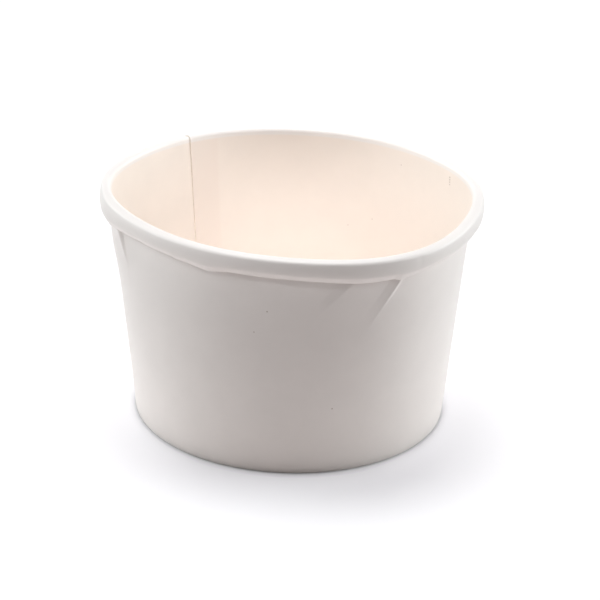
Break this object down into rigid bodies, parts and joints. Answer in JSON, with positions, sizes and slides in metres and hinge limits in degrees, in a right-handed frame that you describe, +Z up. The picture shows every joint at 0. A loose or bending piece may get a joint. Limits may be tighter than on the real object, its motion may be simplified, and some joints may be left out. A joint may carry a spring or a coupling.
{
  "type": "paper sundae cup",
  "caption": "Open white paper tub for ice cream with tapered board side, rolled rim, lapped seam and recessed bottom, its rim pressed out of round.",
  "frame": {"origin": "on the table, under the middle of the box round the cup", "axes": "+Z up the cup, +X to the viewer's right and +Y away from the viewer of the picture"},
  "size_m": [0.096, 0.0962, 0.06],
  "materials": {
    "side_board": "white uncoated outside, satin cream coating inside",
    "bottom_board": "white board with a satin cream coating on top"
  },
  "bodies": {
    "root": {"side_wall": "side_board", "bottom_disc": "bottom_board"}
  },
  "joints": []
}
